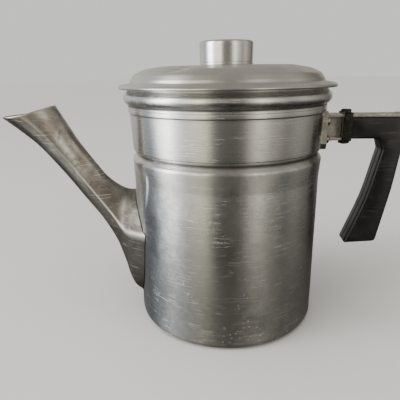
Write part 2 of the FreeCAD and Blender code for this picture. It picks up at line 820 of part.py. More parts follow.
# --------------------------------------------------------------------------- build and write
def main():
    pot = make_pot_body()
    parts = [
        pot,
        make_spout(),
        make_handle_plate(pot),
        make_plate_rivets(),
        make_handle_strap(),
        make_handle_ferrule(),
        make_ferrule_screw(),
        make_ferrule_nut(),
        make_handle_grip(),
        make_strap_screw(),
        make_lid_shell(),
        make_lid_knob(),
        make_knob_screw(),
        make_knob_washer(),
        make_pump_tube(),
        make_pump_base(),
        make_valve_seat(),
        make_valve_disc(),
        make_basket_stop(),
        make_basket_cup(),
        make_basket_sleeve(),
        make_spreader_plate(),
    ]
    doc.recompute()
    for item in doc.Objects:
        if "Invalid" in item.State or "Error" in item.State:
            raise RuntimeError("%s did not compute: %s" % (item.Name, item.State))
    os.makedirs("parts", exist_ok=True)
    for part in parts:
        shape = part.Shape
        if shape.isNull() or not shape.isValid():
            raise RuntimeError(part.Label + " has no valid shape")
        shape.exportStep("parts/%s.step" % part.Label)
        box = shape.BoundBox
        print("%-16s %2d solid(s) %9.1f mm3  x %.1f..%.1f  y %.1f..%.1f  z %.1f..%.1f" % (
            part.Label, len(shape.Solids), shape.Volume, box.XMin, box.XMax, box.YMin, box.YMax,
            box.ZMin, box.ZMax))


main()
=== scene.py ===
"""Looks of the camp coffee percolator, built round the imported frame.

Lengths are written in millimetres and turned into Blender's metres by MM.  The pot's axis is +Z, the
spout points along -X and the handle along +X.
"""
import math

import bmesh
import bpy
from mathutils import Matrix, Vector, noise


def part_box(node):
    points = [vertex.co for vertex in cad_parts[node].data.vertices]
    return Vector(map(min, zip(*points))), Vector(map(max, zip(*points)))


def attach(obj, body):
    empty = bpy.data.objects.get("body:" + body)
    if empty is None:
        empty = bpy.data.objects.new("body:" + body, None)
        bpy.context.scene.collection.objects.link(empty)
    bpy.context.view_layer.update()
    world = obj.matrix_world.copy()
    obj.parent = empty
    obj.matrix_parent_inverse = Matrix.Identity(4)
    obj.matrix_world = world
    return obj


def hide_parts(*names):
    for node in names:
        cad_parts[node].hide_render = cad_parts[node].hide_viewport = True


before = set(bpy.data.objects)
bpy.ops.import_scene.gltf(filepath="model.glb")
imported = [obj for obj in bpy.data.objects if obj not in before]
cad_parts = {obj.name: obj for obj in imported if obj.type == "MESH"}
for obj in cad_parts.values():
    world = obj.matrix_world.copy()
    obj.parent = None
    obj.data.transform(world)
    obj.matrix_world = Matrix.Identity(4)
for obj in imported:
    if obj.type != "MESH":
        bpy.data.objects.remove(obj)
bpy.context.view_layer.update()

MM = 0.001
POT_RADIUS = 55.0
WALL = 1.1
RIM_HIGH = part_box("pot_body")[1].z / MM
GROOVE_HIGH = 103.9
BAND_FOOT = 126.7
BEAD_FOOT = 130.9


# --------------------------------------------------------------------------- outlines and meshes
ARC_STEP = 9.0


def rounded(corners, step):
    """Evenly spaced points along a closed outline of (across, up) or (across, up, rounding) corners."""
    count = len(corners)
    legs = []
    for index, corner in enumerate(corners):
        here = Vector(corner[:2])
        if len(corner) == 2:
            legs.append([here])
            continue
        radius = corner[2]
        back = (Vector(corners[index - 1][:2]) - here).normalized()
        ahead = (Vector(corners[(index + 1) % count][:2]) - here).normalized()
        half = back.angle(ahead) / 2
        reach = radius / math.tan(half)
        enter = here + back * reach
        leave = here + ahead * reach
        middle = here + (back + ahead).normalized() * (radius / math.sin(half))
        sweep = math.pi - 2 * half
        steps = max(2, math.ceil(math.degrees(sweep) / ARC_STEP))
        start = enter - middle
        turn = math.copysign(sweep, start.x * (leave - middle).y - start.y * (leave - middle).x)
        arc = []
        for part in range(steps + 1):
            angle = turn * part / steps
            arc.append(middle + Vector((
                start.x * math.cos(angle) - start.y * math.sin(angle),
                start.x * math.sin(angle) + start.y * math.cos(angle),
            )))
        legs.append(arc)
    points = []
    for index, leg in enumerate(legs):
        points += leg
        goal = legs[(index + 1) % count][0]
        gap = (goal - leg[-1]).length
        cuts = max(1, math.ceil(gap / step))
        for part in range(1, cuts):
            points.append(leg[-1].lerp(goal, part / cuts))
    return points


def new_piece(name, mesh, material, body, nodes=()):
    """Object from a finished mesh, riding on its body and standing for its CAD nodes."""
    piece = bpy.data.objects.new(name, mesh)
    bpy.context.scene.collection.objects.link(piece)
    mesh.materials.clear()
    mesh.materials.append(material)
    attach(piece, body)
    if nodes:
        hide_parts(*nodes)
    return piece


WELD = 0.5e-6


def mesh_from(name, vertices, faces, sharp_angle=35.0):
    """Smooth-shaded mesh in metres from vertices in millimetres, sharp only past the sharp angle."""
    mesh = bpy.data.meshes.new(name)
    mesh.from_pydata([tuple(Vector(v) * MM) for v in vertices], [], faces)
    mesh.validate()
    tidy = bmesh.new()
    tidy.from_mesh(mesh)
    bmesh.ops.remove_doubles(tidy, verts=tidy.verts, dist=WELD)
    bmesh.ops.recalc_face_normals(tidy, faces=tidy.faces)
    tidy.to_mesh(mesh)
    tidy.free()
    mark_smooth(mesh, sharp_angle)
    return mesh


def mark_smooth(mesh, sharp_angle):
    mesh.shade_smooth()
    mesh.set_sharp_from_angle(angle=math.radians(sharp_angle))


def lathe(name, outline, segments, shape=None, closed=True, sharp_angle=35.0):
    """Turned mesh from an outline of (radius, height) points; shape(r, z, angle) may dent it."""
    vertices = []
    rings = []
    for point in outline:
        if point[0] == 0.0:
            rings.append([len(vertices)])
            radius, height = shape(0.0, point[1], 0.0) if shape else (0.0, point[1])
            vertices.append((0, 0, height))
            continue
        ring = []
        for index in range(segments):
            angle = 2 * math.pi * index / segments
            radius, height = shape(point[0], point[1], angle) if shape else (point[0], point[1])
            ring.append(len(vertices))
            vertices.append((radius * math.cos(angle), radius * math.sin(angle), height))
        rings.append(ring)
    faces = []
    pairs = list(zip(rings, rings[1:]))
    if closed:
        pairs.append((rings[-1], rings[0]))
    for first, second in pairs:
        if len(first) == 1 and len(second) == 1:
            continue
        for index in range(segments):
            following = (index + 1) % segments
            if len(first) == 1:
                faces.append((first[0], second[index], second[following]))
            elif len(second) == 1:
                faces.append((first[index], second[0], first[following]))
            else:
                faces.append((first[index], second[index], second[following], first[following]))
    return mesh_from(name, vertices, faces, sharp_angle)


def smooth_step(low, high, value):
    share = min(1.0, max(0.0, (value - low) / (high - low)))
    return share * share * (3 - 2 * share)


def applied(piece):
    """The piece's mesh with its modifiers applied, in place of them."""
    graph = bpy.context.evaluated_depsgraph_get()
    mesh = bpy.data.meshes.new_from_object(piece.evaluated_get(graph))
    piece.modifiers.clear()
    piece.data = mesh
    return mesh


# --------------------------------------------------------------------------- materials
class Graph:
    """A node graph, written step by step."""

    def __init__(self, tree, place):
        self.tree = tree
        tree.nodes.clear()
        self.place = tree.nodes.new("ShaderNodeTexCoord").outputs[place]

    def node(self, kind, inputs=None, **settings):
        node = self.tree.nodes.new(kind)
        for key, setting in settings.items():
            setattr(node, key, setting)
        for key, source in (inputs or {}).items():
            self.feed(node.inputs[key], source)
        return node

    def feed(self, socket, source):
        if isinstance(source, bpy.types.NodeSocket):
            self.tree.links.new(source, socket)
        else:
            socket.default_value = source

    def math(self, operation, first, second=0.0, clamp=False):
        node = self.node("ShaderNodeMath", {0: first, 1: second}, operation=operation, use_clamp=clamp)
        return node.outputs[0]

    def times(self, first, second):
        return self.math("MULTIPLY", first, second)

    def minus(self, first, second):
        return self.math("SUBTRACT", first, second)

    def larger(self, first, second):
        return self.math("MAXIMUM", first, second)

    def total(self, start, *parts):
        """Start plus each (value, weight) in turn, held between nothing and one."""
        for value, weight in parts:
            start = self.math("ADD", start, self.times(value, weight), clamp=True)
        return start

    def stretched(self, scale, turn=(0, 0, 0)):
        """Object coordinates turned and scaled, for grain that runs one way."""
        radians = [math.radians(angle) for angle in turn]
        node = self.node("ShaderNodeMapping", {"Vector": self.place, "Rotation": radians, "Scale": scale})
        return node.outputs[0]

    def noise(self, place, scale=1.0, detail=2.0, roughness=0.5, distortion=0.0):
        node = self.node("ShaderNodeTexNoise", {
            "Vector": place, "Scale": scale, "Detail": detail, "Roughness": roughness,
            "Distortion": distortion,
        })
        return node.outputs[0]

    def window(self, value, low, high, to_low=0.0, to_high=1.0):
        """Value stretched from low..high onto to_low..to_high, and held there."""
        node = self.node("ShaderNodeMapRange", {
            "Value": value, "From Min": low, "From Max": high, "To Min": to_low, "To Max": to_high,
        }, interpolation_type="SMOOTHSTEP")
        return node.outputs[0]

    def band(self, value, middle, half):
        """One at middle, falling to nothing half away."""
        distance = self.math("ABSOLUTE", self.minus(value, middle))
        return self.window(distance, 0.0, half, 1.0, 0.0)

    def blend(self, share, first, second, blend_type="MIX"):
        node = self.node("ShaderNodeMix", data_type="RGBA", blend_type=blend_type)
        for index, source in ((0, share), (6, first), (7, second)):
            self.feed(node.inputs[index], source)
        return node.outputs[2]

    def tinted(self, first, second):
        return self.blend(1.0, first, second, "MULTIPLY")

    def ramp(self, value, stops):
        """Colour that passes through each (position, colour) stop."""
        node = self.node("ShaderNodeValToRGB", {0: value})
        node.color_ramp.interpolation = "EASE"
        elements = node.color_ramp.elements
        elements[0].position = stops[0][0]
        elements[1].position = stops[-1][0]
        for position, _ in stops[1:-1]:
            elements.new(position)
        for element, (_, colour) in zip(elements, stops):
            element.color = colour
        return node.outputs[0]

    def split(self):
        node = self.node("ShaderNodeSeparateXYZ", {0: self.place})
        return node.outputs[0], node.outputs[1], node.outputs[2]

    def bump(self, height, strength, distance, normal=None):
        inputs = {"Height": height, "Strength": strength, "Distance": distance}
        if normal is not None:
            inputs["Normal"] = normal
        return self.node("ShaderNodeBump", inputs).outputs[0]


class Surface(Graph):
    """The node graph of one material, ending in a principled shader."""

    def __init__(self, name):
        self.material = bpy.data.materials.new(name)
        self.material.use_nodes = True
        super().__init__(self.material.node_tree, "Object")
        self.shader = self.node("ShaderNodeBsdfPrincipled")
        self.node("ShaderNodeOutputMaterial", {0: self.shader.outputs[0]})

    def set(self, **sockets):
        for key, source in sockets.items():
            self.feed(self.shader.inputs[key.replace("_", " ")], source)


def darker(colour, share):
    return (*(channel * share for channel in colour[:3]), 1)


def brushed_round(graph, amount):
    """Stretch the reflections the way brushing round the pot's own axis does."""
    tangent = graph.node("ShaderNodeTangent", direction_type="RADIAL", axis="Z").outputs[0]
    graph.set(Anisotropic=amount, Anisotropic_Rotation=0.25, Tangent=tangent)


def scratches(graph, directions, low, high):
    """Sparse thin lines, one family for each direction (turn about Y, turn about Z)."""
    total = None
    for index, (tilt, turn) in enumerate(directions):
        shifted = graph.stretched((26.0 + 7 * index, 40.0, 2100.0 + 300 * index), (tilt * 0.3, tilt, turn))
        line = graph.window(graph.noise(shifted, 1.0, 1.0, 0.4), low, high)
        patch = graph.window(graph.noise(graph.place, 55.0 + 23 * index, 1.0), 0.52, 0.62)
        mark = graph.times(line, patch)
        total = mark if total is None else graph.larger(total, mark)
    return total


def specks(graph, scale, size, crowding=0.58):
    """Small ragged nicks, in loose clusters."""
    cells = graph.node("ShaderNodeTexVoronoi", {"Vector": graph.place, "Scale": scale, "Randomness": 1.0})
    ragged = graph.times(graph.noise(graph.place, scale * 3.1, 2.0, 0.7), size * 1.6)
    distance = graph.math("ADD", cells.outputs["Distance"], ragged)
    dots = graph.window(distance, size * 1.1, size * 1.6, 1.0, 0.0)
    picked = graph.window(graph.noise(graph.place, scale * 0.13, 1.0), crowding, crowding + 0.05)
    return graph.times(dots, picked)


def drawn_aluminium(name, tint):
    """Drawn sheet: fine level brushing, cloudy wear, nicks low down and a brighter neck, with painted
    reflection that darkens the lower wall and lightens the spout's pad, and dirt with painted shade in the
    grooves.
    """
    graph = Surface(name)
    reach, across, height = graph.split()
    fine = graph.noise(graph.stretched((9, 9, 3800)), 1.0, 4.0, 0.65)
    broad = graph.noise(graph.stretched((5, 5, 700)), 1.0, 2.0, 0.5)
    clouds = graph.noise(graph.place, 42.0, 5.0, 0.62, 0.6)
    mottle = graph.noise(graph.place, 330.0, 4.0, 0.7)
    neck = graph.window(height, GROOVE_HIGH * MM - 0.0004, GROOVE_HIGH * MM + 0.0026)
    low_down = graph.window(height, 0.075, 0.015)
    wear = graph.minus(1.0, graph.times(neck, 0.75))
    lines = scratches(graph, ((38, 10), (-34, 70), (62, 130), (-22, 35)), 0.655, 0.70)
    nicks = specks(graph, 430.0, 0.34, 0.56)
    nicks = graph.times(nicks, graph.total(0.25, (low_down, 0.75)))
    dull = graph.times(graph.window(clouds, 0.42, 0.68), wear)
    grain = graph.times(graph.window(mottle, 0.4, 0.7), wear)
    colour = graph.blend(dull, tint, darker(tint, 0.80))
    colour = graph.blend(graph.times(grain, 0.36), colour, darker(tint, 0.66))
    bright = graph.larger(graph.times(lines, 0.7), nicks)
    facing = graph.math("ABSOLUTE", across)
    near_spout = graph.times(graph.window(reach, -0.012, -0.036), graph.window(height, 0.100, 0.086))
    near_spout = graph.times(near_spout, graph.window(facing, 0.027, 0.032))
    near_spout = graph.times(near_spout, graph.window(mottle, 0.30, 0.62, 0.25, 0.75))
    # Painted reflection: the spout's pad is painted paler, as if it caught a bright reflection; the same
    # mask also makes it rougher.
    pad_painted_reflection = graph.times(graph.window(reach, -0.034, -0.042), graph.window(facing, 0.032, 0.028))
    pad_painted_reflection = graph.times(pad_painted_reflection, graph.window(height, 0.053, 0.057))
    pad_painted_reflection = graph.times(pad_painted_reflection, graph.window(height, 0.100, 0.096))
    colour = graph.blend(near_spout, colour, (0.30, 0.325, 0.355, 1))
    # Painted reflection: the wall's colour darkens toward the bottom, to half at 18 mm and below, standing
    # for a dark surface reflected there.
    colour = graph.tinted(colour, graph.window(height, 0.018, 0.092, 0.50, 1.0))
    # Painted reflection: paler colour over the spout's pad.
    colour = graph.blend(graph.times(pad_painted_reflection, 0.8), colour, (0.90, 0.885, 0.85, 1))
    # Darker bluish grey low down on the spout's side of the wall.
    low_spout_side = graph.times(graph.window(height, 0.080, 0.030), graph.window(reach, 0.004, -0.030))
    colour = graph.blend(graph.times(low_spout_side, 0.55), colour, (0.17, 0.18, 0.19, 1))
    colour = graph.blend(graph.times(bright, 0.75), colour, (0.95, 0.94, 0.92, 1))
    # Dirt and painted shade: dark bands in the groove, at the bead's foot and at the band's foot, broken
    # up by the clouds.
    grime_and_shade = graph.band(height, GROOVE_HIGH * MM, 0.0016)
    grime_and_shade = graph.larger(grime_and_shade, graph.band(height, BEAD_FOOT * MM, 0.0008))
    grime_and_shade = graph.larger(grime_and_shade, graph.times(graph.band(height, BAND_FOOT * MM, 0.0005), 0.9))
    grime_and_shade = graph.times(grime_and_shade, graph.window(clouds, 0.25, 0.5, 0.6, 1.0))
    colour = graph.blend(graph.times(grime_and_shade, 0.85), colour, (0.07, 0.065, 0.06, 1))
    rough = graph.total(
        0.25, (dull, 0.16), (graph.minus(fine, 0.5), 0.22), (grain, 0.07), (low_down, 0.24),
        (pad_painted_reflection, 0.22), (grime_and_shade, 0.3),
    )
    relief = graph.total(0.0, (fine, 0.35), (broad, 0.5))
    normal = graph.bump(relief, 0.16, 0.00012)
    pits = graph.minus(graph.times(grain, 0.4), bright)
    normal = graph.bump(pits, 0.35, 0.00010, normal)
    normal = graph.bump(graph.noise(graph.place, 24.0, 2.0, 0.5), 0.22, 0.0012, normal)
    graph.set(Base_Color=colour, Metallic=1.0, Roughness=rough, Normal=normal)
    brushed_round(graph, 0.85)
    return graph.material


RINGS_PER_METRE = 5200.0


def spun_aluminium(name, tint, gloss=0.26):
    """Spun sheet or turned bar: fine rings round the axis, faint clouds and handling marks."""
    graph = Surface(name)
    across, along, height = graph.split()
    square = graph.math("ADD", graph.math("POWER", across, 2.0), graph.math("POWER", along, 2.0))
    radius = graph.math("SQRT", square)
    turned = graph.node("ShaderNodeCombineXYZ", {
        0: graph.times(radius, RINGS_PER_METRE), 1: graph.times(height, RINGS_PER_METRE * 0.6),
        2: graph.times(across, 14.0),
    }).outputs[0]
    rings = graph.noise(turned, 1.0, 3.0, 0.6)
    clouds = graph.noise(graph.place, 60.0, 5.0, 0.6, 0.5)
    mottle = graph.noise(graph.place, 420.0, 3.0, 0.6)
    lines = scratches(graph, ((12, 20), (-50, 80), (80, 150)), 0.665, 0.71)
    nicks = specks(graph, 430.0, 0.26)
    dull = graph.window(clouds, 0.40, 0.70)
    colour = graph.blend(graph.times(dull, 0.6), tint, darker(tint, 0.76))
    bright = graph.larger(graph.times(lines, 0.6), graph.times(nicks, 0.6))
    colour = graph.blend(bright, colour, (0.92, 0.91, 0.88, 1))
    rough = graph.total(gloss, (dull, 0.12), (graph.minus(rings, 0.5), 0.2), (mottle, 0.06))
    normal = graph.bump(rings, 0.10, 0.00010)
    pits = graph.minus(graph.times(mottle, 0.5), bright)
    normal = graph.bump(pits, 0.25, 0.00008, normal)
    normal = graph.bump(graph.noise(graph.place, 30.0, 2.0, 0.5), 0.18, 0.0010, normal)
    graph.set(Base_Color=colour, Metallic=1.0, Roughness=rough, Normal=normal)
    brushed_round(graph, 0.7)
    return graph.material


def tarnished_aluminium(name):
    """Cast spout metal: brown and grey mottling, rubbed bright along the ridge with a painted highlight
    there, and painted shade underneath.
    """
    graph = Surface(name)
    clouds = graph.noise(graph.place, 75.0, 6.0, 0.66, 1.2)
    blots = graph.noise(graph.place, 210.0, 5.0, 0.7, 0.8)
    grain = graph.noise(graph.place, 900.0, 3.0, 0.6)
    streaks = graph.noise(graph.stretched((60, 300, 60), (0, 42, 0)), 1.0, 3.0, 0.6)
    brown = graph.window(clouds, 0.38, 0.62)
    dark = graph.window(blots, 0.50, 0.72)
    colour = graph.blend(brown, (0.53, 0.515, 0.49, 1), (0.35, 0.30, 0.25, 1))
    colour = graph.blend(graph.times(dark, 0.55), colour, (0.17, 0.15, 0.135, 1))
    streaked = graph.times(graph.window(streaks, 0.5, 0.7), 0.3)
    colour = graph.blend(streaked, colour, (0.62, 0.60, 0.57, 1))
    reach, _, height = graph.split()
    foot = graph.window(reach, -0.094, -0.072)
    colour = graph.blend(graph.times(foot, 0.72), colour, (0.14, 0.122, 0.108, 1))
    # Painted shade: the spout's underside near the foot is painted near black.
    belly = graph.times(foot, graph.window(height, 0.0575, 0.0555))
    colour = graph.blend(graph.times(belly, 0.65), colour, (0.085, 0.082, 0.08, 1))
    lines = scratches(graph, ((42, 0), (-48, 40), (10, 90)), 0.66, 0.70)
    colour = graph.blend(graph.times(lines, 0.6), colour, (0.88, 0.86, 0.82, 1))
    # Rubbed wear and painted highlight: the rubbed layer lightens the side ridges and the lip.
    edges = graph.node("ShaderNodeVertexColor", layer_name="rubbed").outputs["Color"]
    rubbed = graph.times(edges, graph.window(blots, 0.25, 0.55, 0.75, 1.0))
    colour = graph.blend(rubbed, colour, (0.92, 0.91, 0.88, 1))
    rough = graph.total(0.27, (brown, 0.12), (foot, 0.24), (dark, 0.14), (rubbed, 0.10))
    normal = graph.bump(grain, 0.12, 0.00010)
    normal = graph.bump(graph.minus(blots, lines), 0.30, 0.00018, normal)
    normal = graph.bump(clouds, 0.20, 0.0008, normal)
    graph.set(Base_Color=colour, Metallic=1.0, Roughness=rough, Normal=normal)
    return graph.material


def aged_steel(name, clean, stained, gloss, stain_share=0.8):
    """Small steel fittings: plating or oxide with stains, pitting and rubbed patches."""
    graph = Surface(name)
    clouds = graph.noise(graph.place, 260.0, 5.0, 0.65, 0.7)
    grain = graph.noise(graph.place, 1500.0, 3.0, 0.6)
    lines = scratches(graph, ((15, 0), (70, 40)), 0.64, 0.69)
    share = graph.times(graph.window(clouds, 0.36, 0.66), stain_share)
    colour = graph.blend(share, clean, stained)
    rubbed = (*(min(1.0, channel * 1.5) for channel in clean[:3]), 1)
    colour = graph.blend(graph.times(lines, 0.5), colour, rubbed)
    rough = graph.total(gloss, (share, 0.22), (graph.minus(grain, 0.5), 0.15))
    normal = graph.bump(grain, 0.25, 0.00008)
    normal = graph.bump(clouds, 0.35, 0.00025, normal)
    graph.set(Base_Color=colour, Metallic=1.0, Roughness=rough, Normal=normal)
    return graph.material


def phenolic(name):
    """Black moulded handle: deep gloss dulled by handling, hair scratches and a trace of dust."""
    graph = Surface(name)
    clouds = graph.noise(graph.place, 70.0, 4.0, 0.6)
    grain = graph.noise(graph.place, 1900.0, 2.0, 0.5)
    lines = scratches(graph, ((25, 0), (-60, 30), (75, 80)), 0.65, 0.70)
    dust = specks(graph, 800.0, 0.20)
    handled = graph.window(clouds, 0.4, 0.75)
    colour = graph.blend(handled, (0.0045, 0.0045, 0.0046, 1), (0.011, 0.0105, 0.010, 1))
    marks = graph.larger(graph.times(lines, 0.35), graph.times(dust, 0.22))
    colour = graph.blend(marks, colour, (0.10, 0.095, 0.09, 1))
    rough = graph.total(0.26, (graph.window(clouds, 0.35, 0.7), 0.16), (marks, 0.3))
    normal = graph.bump(grain, 0.05, 0.00005)
    waves = graph.minus(clouds, graph.times(lines, 0.3))
    normal = graph.bump(waves, 0.12, 0.0003, normal)
    graph.set(Base_Color=colour, Metallic=0.0, Roughness=rough, Normal=normal, IOR=1.55)
    return graph.material


def stained_aluminium(name, tint):
    """Parts that live in the coffee: satin metal with brown stains in patches."""
    graph = Surface(name)
    clouds = graph.noise(graph.place, 90.0, 5.0, 0.65, 0.8)
    fine = graph.noise(graph.stretched((20, 20, 2600)), 1.0, 3.0, 0.6)
    blots = graph.noise(graph.place, 380.0, 4.0, 0.65)
    stain = graph.times(graph.window(clouds, 0.50, 0.74), 0.7)
    colour = graph.blend(stain, tint, (0.34, 0.24, 0.15, 1))
    blotted = graph.times(graph.window(blots, 0.55, 0.75), 0.25)
    colour = graph.blend(blotted, colour, (0.36, 0.33, 0.29, 1))
    rough = graph.total(0.30, (stain, 0.25), (graph.minus(fine, 0.5), 0.2))
    normal = graph.bump(fine, 0.12, 0.00010)
    normal = graph.bump(blots, 0.18, 0.00015, normal)
    graph.set(Base_Color=colour, Metallic=1.0, Roughness=rough, Normal=normal)
    return graph.material


def floor_material():
    graph = Surface("pale_floor")
    soft = graph.noise(graph.place, 3.0, 3.0)
    colour = graph.blend(soft, (0.66, 0.655, 0.645, 1), (0.70, 0.695, 0.685, 1))
    graph.set(Base_Color=colour, Roughness=0.62)
    return graph.material


# --------------------------------------------------------------------------- pot
RIM_RADIUS = 56.8
POT_SEGMENTS = 384
# (radius, height, rounding) of each corner from the straight wall up to the rim, outside and then inside
POT_SIDE = (
    (55.0, 90.0, 20), (55.9, 100.9, 2.4), (52.8, GROOVE_HIGH, 0.7), (55.3, 106.2, 1.0),
    (56.3, BAND_FOOT, 0.25), (57.0, 127.1, 0.3), (57.05, 129.0, 0.25), (56.85, 129.2, 0.1),
    (57.05, 129.4, 0.25), (57.0, 131.0, 0.4), (60.8, 134.8, 3.4), (RIM_RADIUS, 139.0, 1.0),
)
INNER_SIDE = (
    (55.0, 92.4, 20), (55.6, 100.4, 2.6), (52.8, GROOVE_HIGH, 0.9), (55.3, 106.3, 1.2), (56.3, 126.5, 0.6),
    (57.0, 131.0, 0.8), (60.9, 134.8, 3.6), (RIM_RADIUS, 139.0, 1.0),
)
PAD_PROUD = 0.55
PAD_HALF_ANGLE = 31.0
PAD_WIDENING = 9.5
PAD_EDGE = 0.9
RIVET_ACROSS = 8.4
RIVET_HEIGHTS = (110.4, 120.4)
RIVET_HOLE = 1.6
STRAINER_ROWS = 6
STRAINER_PITCH = 6.0
STRAINER_LOW = 24.0
STRAINER_HOLE = 1.5


def pad_height(angle, height):
    """How far the flat raised for the spout stands out of the pot's wall, in millimetres."""
    off_spout = abs(math.degrees(math.atan2(math.sin(angle - math.pi), math.cos(angle - math.pi))))
    edge = PAD_HALF_ANGLE + PAD_WIDENING * smooth_step(56.0, 95.0, height)
    side = 1.0 - smooth_step(edge - PAD_EDGE, edge + PAD_EDGE, off_spout)
    ends = smooth_step(55.5, 57.5, height) * (1.0 - smooth_step(93.5, 97.4, height))
    return PAD_PROUD * side * ends


def pot_skin(radius, height, angle):
    """The turned pot with its pad and the slight unevenness of old drawn sheet."""
    place = Vector((math.cos(angle) * 2.2, math.sin(angle) * 2.2, height / 26.0))
    free = smooth_step(4.0, 14.0, height) * (1.0 - smooth_step(120, 128, height))
    uneven = 0.10 * noise.noise(place) * free
    return radius + pad_height(angle, height) + uneven, height


def make_pot(material):
    outer = [(0.0, 0.0), (POT_RADIUS, 0.0, 4.5), *POT_SIDE, (RIM_RADIUS, RIM_HIGH, 0.5)]
    inner = [(RIM_RADIUS - WALL, RIM_HIGH, 0.5)]
    inner += [(r - WALL, z, rounding) for r, z, rounding in reversed(INNER_SIDE)]
    inner += [(POT_RADIUS - WALL, WALL, 3.4), (0.0, WALL)]
    outline = rounded(outer + inner, step=1.7)
    turned = lathe("pot_shell", outline, POT_SEGMENTS, pot_skin, closed=False, sharp_angle=50)
    drill(new_piece("pot_shell", turned, material, "pot", ["pot_body"]))


def drill(piece):
    """Strainer holes behind the spout, and holes for the handle's rivets."""
    cutters = []
    for row in range(STRAINER_ROWS):
        for column in (-1, 0, 1):
            place = Vector((-POT_RADIUS, STRAINER_PITCH * column, STRAINER_LOW + STRAINER_PITCH * row))
            cutters.append((place, STRAINER_HOLE))
    for across in (-RIVET_ACROSS, RIVET_ACROSS):
        for up in RIVET_HEIGHTS:
            cutters.append((Vector((POT_RADIUS, across, up)), RIVET_HOLE))
    tool = bmesh.new()
    turn = Matrix.Rotation(math.radians(90), 4, "Y")
    for place, radius in cutters:
        matrix = Matrix.Translation(place * MM) @ turn
        bmesh.ops.create_cone(tool, cap_ends=True, segments=20, radius1=radius * MM, radius2=radius * MM,
                              depth=12 * MM, matrix=matrix)
    mesh = bpy.data.meshes.new("drill")
    tool.to_mesh(mesh)
    tool.free()
    drills = bpy.data.objects.new("drill", mesh)
    bpy.context.scene.collection.objects.link(drills)
    cut = piece.modifiers.new("holes", "BOOLEAN")
    cut.operation = "DIFFERENCE"
    cut.solver = "EXACT"
    cut.object = drills
    mesh = applied(piece)
    bpy.data.objects.remove(drills)
    mark_smooth(mesh, 50)


# --------------------------------------------------------------------------- spout
# At each station: the lowest point's distance from the axis and height, the top's, the ridge's place
# between them, the half width at the ridge, and how full the sides are below and above it
SPOUT_STATIONS = (
    (45.0, 9.0, 45.0, 78.5, 0.705, 30.5, 0.86, 0.88),
    (58.0, 13.5, 56.5, 77.4, 0.69, 23.5, 0.84, 0.84),
    (65.1, 29.6, 62.5, 78.2, 0.60, 17.0, 0.82, 0.80),
    (70.9, 44.5, 68.5, 81.3, 0.57, 13.8, 0.78, 0.76),
    (79.0, 58.8, 75.3, 86.8, 0.55, 11.6, 0.76, 0.78),
    (89.4, 72.8, 80.8, 94.0, 0.54, 10.7, 0.80, 0.82),
    (99.0, 85.9, 87.0, 102.6, 0.54, 10.3, 0.84, 0.86),
    (108.4, 97.8, 91.6, 109.3, 0.53, 10.6, 0.88, 0.90),
    (118.6, 109.0, 96.0, 117.0, 0.52, 11.3, 0.92, 0.94),
    (136.6, 123.6, 103.5, 130.2, 0.50, 12.6, 0.98, 0.98),
)
SPOUT_WALL = 1.2
SPOUT_SHARES = (
    0.0, 0.06, 0.12, 0.18, 0.24, 0.31, 0.38, 0.45, 0.52, 0.59, 0.66, 0.73, 0.80, 0.87, 0.93, 0.972,
)
SPOUT_RIDGE = len(SPOUT_SHARES)
SPOUT_ALONG = 110
SPOUT_FINE = 400
SPOUT_CLEARANCE = 0.03


def station_at(along):
    """Sizes of the spout at a place along it, eased smoothly between its stations."""
    last = len(SPOUT_STATIONS) - 1
    spot = min(max(along, 0.0), 1.0) * last
    index = min(int(spot), last - 1)
    share = spot - index
    picks = [SPOUT_STATIONS[min(max(index + shift, 0), last)] for shift in (-1, 0, 1, 2)]
    sizes = []
    for before, first, second, after in zip(*picks):
        pull = (second - before) * 0.5
        push = (after - first) * 0.5
        squared = share * share
        cubed = squared * share
        sizes.append((2 * cubed - 3 * squared + 1) * first + (cubed - 2 * squared + share) * pull
                     + (3 * squared - 2 * cubed) * second + (cubed - squared) * push)
    return sizes


def bezier(poles, share):
    rest = 1.0 - share
    return (poles[0] * rest ** 3 + poles[1] * 3 * rest * rest * share
            + poles[2] * 3 * rest * share * share + poles[3] * share ** 3)


def spout_ring(along, inset):
    """Points round the spout: up one side from the lowest point, and down the other."""
    low_x, low_z, top_x, top_z, ridge, half, belly, flank = station_at(along)
    low = Vector((-low_x, 0, low_z))
    top = Vector((-top_x, 0, top_z))
    rise = (top - low).normalized()
    low = low + rise * inset
    top = top - rise * inset
    half = half - inset
    centre = low.lerp(top, ridge)
    below = (low - centre).length
    above = (top - centre).length
    lip_dip = 1.3 * smooth_step(0.93, 1.0, along)
    near_foot = 1.0 - smooth_step(0.08, 0.32, along)
    quarter = []
    poles = (
        low,
        low + Vector((0, half * (0.50 + 0.50 * near_foot), 0)),
        centre - rise * (below * 0.45) + Vector((0, half * belly, 0)),
        centre + Vector((0, half, 0)),
    )
    for share in SPOUT_SHARES:
        quarter.append(bezier(poles, share))
    poles = (
        centre + Vector((0, half, 0)),
        centre + rise * (above * 0.45) + Vector((0, half * flank, 0)),
        top + Vector((0, half * (0.5 + 0.35 * near_foot) * flank, 0)),
        top,
    )
    quarter.append(bezier(poles, 0.0))
    for share in reversed(SPOUT_SHARES):
        quarter.append(bezier(poles, 1.0 - share))
    for point in quarter:
        point.z -= lip_dip * (point.y / half) ** 2
    mirrored = [Vector((p.x, -p.y, p.z)) for p in reversed(quarter[1:-1])]
    return quarter + mirrored


def outside_pot(point):
    """How far a point stands outside the pot's outer skin."""
    radius = math.hypot(point.x, point.y)
    angle = math.atan2(point.y, point.x)
    return radius - POT_RADIUS - pad_height(angle, point.z)


